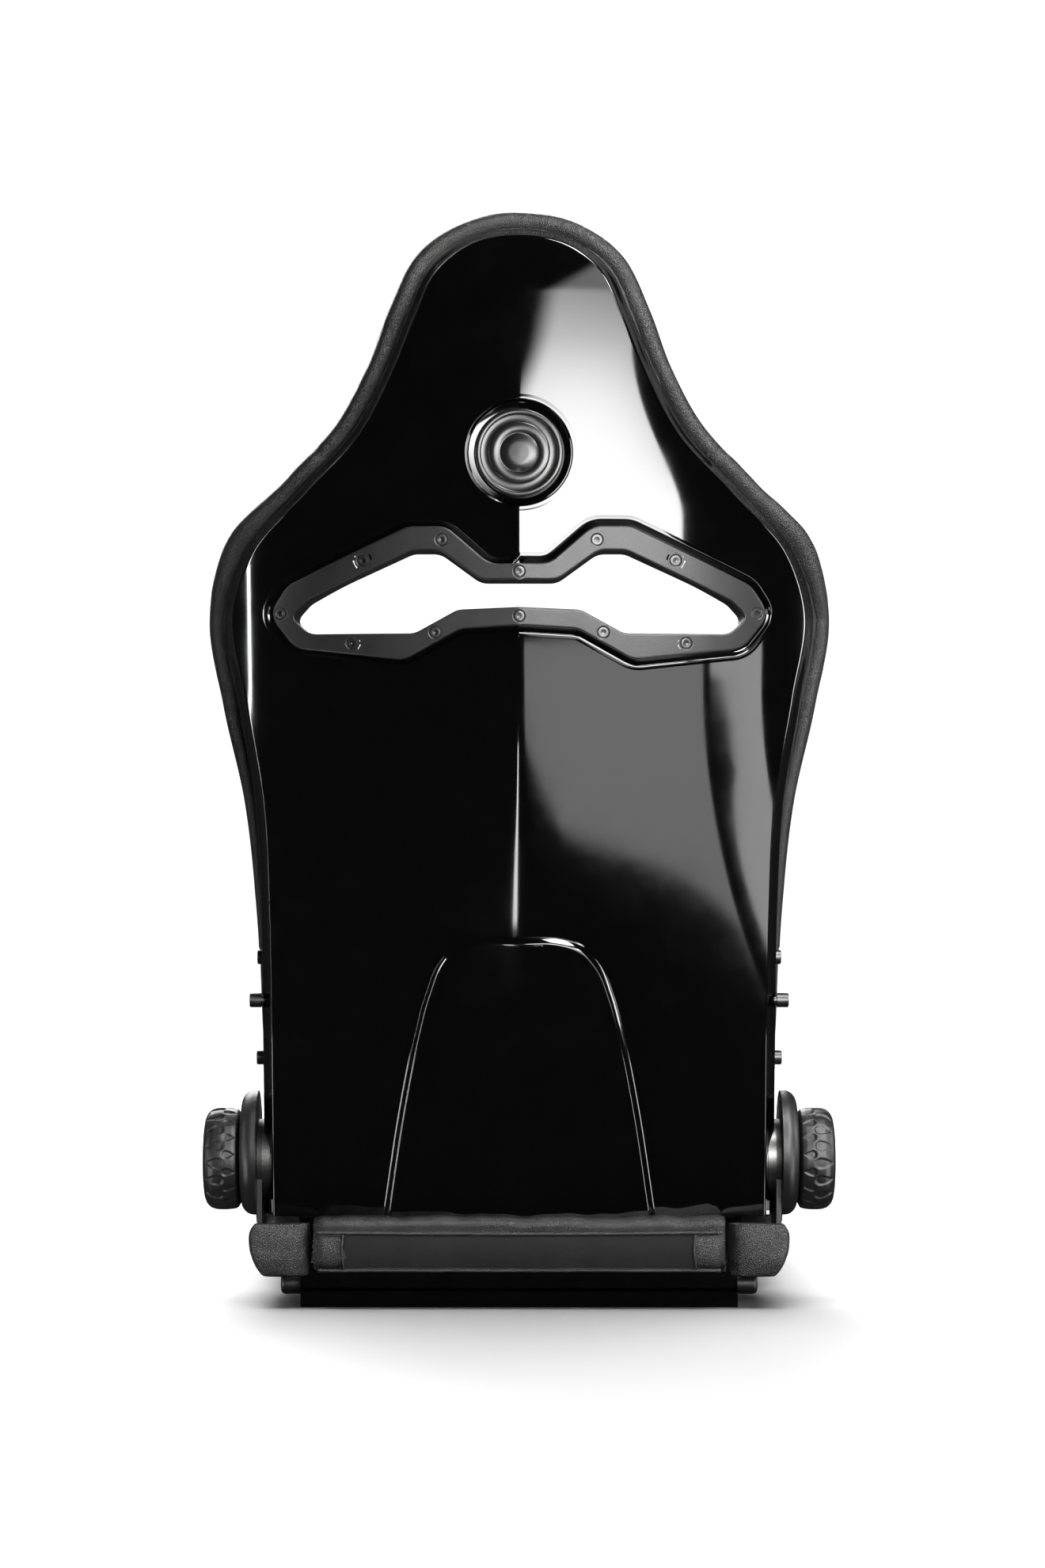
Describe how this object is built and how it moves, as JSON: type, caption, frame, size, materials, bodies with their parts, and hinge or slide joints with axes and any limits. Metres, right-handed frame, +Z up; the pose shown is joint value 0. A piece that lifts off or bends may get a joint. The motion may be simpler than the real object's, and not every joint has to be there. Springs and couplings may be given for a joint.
{
  "type": "racing seat",
  "caption": "Reclining racing seat with a gloss moulded rear shell, harness slot with screwed trim ring, leather bolsters, suede cushions and rotary recliner knobs on a steel base.",
  "frame": {"origin": "centre of the four threaded mounting holes, on the underside of the base", "axes": "+Z up, the occupant faces -Y, +X is the occupant's left; the recline axis is parallel to X"},
  "size_m": [0.572, 0.607, 0.977],
  "materials": {
    "shell_gloss_black": "clear-coated moulded shell, deep gloss",
    "badge_black": "moulded badge, part gloss part satin",
    "trim_satin_grey": "satin moulding",
    "liner_leather": "leather-covered lining",
    "suede_black": "brushed microfibre suede",
    "leather_black": "pebble grain, semi-matt",
    "plastic_black": "fine-textured moulding",
    "bush_plastic": "plain bearing",
    "fastener_black": "black oxide",
    "steel_zinc": "zinc plated",
    "steel_gloss_black": "gloss powder coat",
    "steel_satin_black": "satin powder coat"
  },
  "bodies": {
    "seat_base": {"bolster_rear_corner_left": "leather_black", "bolster_rear_corner_right": "leather_black", "bracket_bolts": "fastener_black", "cushion_rear_roll": "suede_black", "front_cross_member": "steel_gloss_black", "front_cross_tube": "steel_satin_black", "mount_nuts": "steel_zinc", "pan_bolts": "fastener_black", "rear_cross_member": "steel_gloss_black", "rear_cross_tube": "steel_satin_black", "recliner_bracket_left": "steel_satin_black", "recliner_bracket_right": "steel_satin_black", "recliner_cover_left": "plastic_black", "recliner_cover_right": "plastic_black", "recliner_fixed_disc_left": "steel_zinc", "recliner_fixed_disc_right": "steel_zinc", "seat_cushion": "suede_black", "seat_pan": "steel_gloss_black", "shaft_bush_left": "bush_plastic", "shaft_bush_right": "bush_plastic", "side_rail_left": "steel_satin_black", "side_rail_right": "steel_satin_black", "thigh_bolster_left": "leather_black", "thigh_bolster_right": "leather_black", "tube_end_caps": "plastic_black"},
    "backrest": {"arm_bolts": "fastener_black", "arm_nuts": "steel_zinc", "arm_spacers": "steel_zinc", "back_bolster_left": "leather_black", "back_bolster_right": "leather_black", "back_cushion": "suede_black", "backrest_cross_tube": "steel_satin_black", "head_cushion": "leather_black", "rear_shell": "shell_gloss_black", "recline_arm_left": "steel_satin_black", "recline_arm_right": "steel_satin_black", "recliner_moving_disc_left": "steel_zinc", "recliner_moving_disc_right": "steel_zinc", "ring_screws": "fastener_black", "shell_badge": "badge_black", "shoulder_wing_left": "leather_black", "shoulder_wing_right": "leather_black", "slot_liner": "liner_leather", "slot_trim_ring": "trim_satin_grey"},
    "recliner_drive": {"cross_shaft": "steel_zinc", "knob_cap_left": "plastic_black", "knob_cap_right": "plastic_black", "recliner_knob_left": "plastic_black", "recliner_knob_right": "plastic_black"}
  },
  "joints": [
    {"name": "backrest_recline", "type": "hinge", "parent": "seat_base", "child": "backrest", "pos_m": [0, 0.15, 0.128], "axis": [-1, 0, 0], "range_deg": [-6, 48]},
    {"name": "recliner_knobs_turn", "type": "hinge", "parent": "seat_base", "child": "recliner_drive", "pos_m": [0, 0.15, 0.128], "axis": [-1, 0, 0], "range_deg": [-210, 1640]}
  ],
  "couplings": [
    {"joint": "recliner_knobs_turn", "follows": "backrest_recline", "ratio": 34}
  ]
}
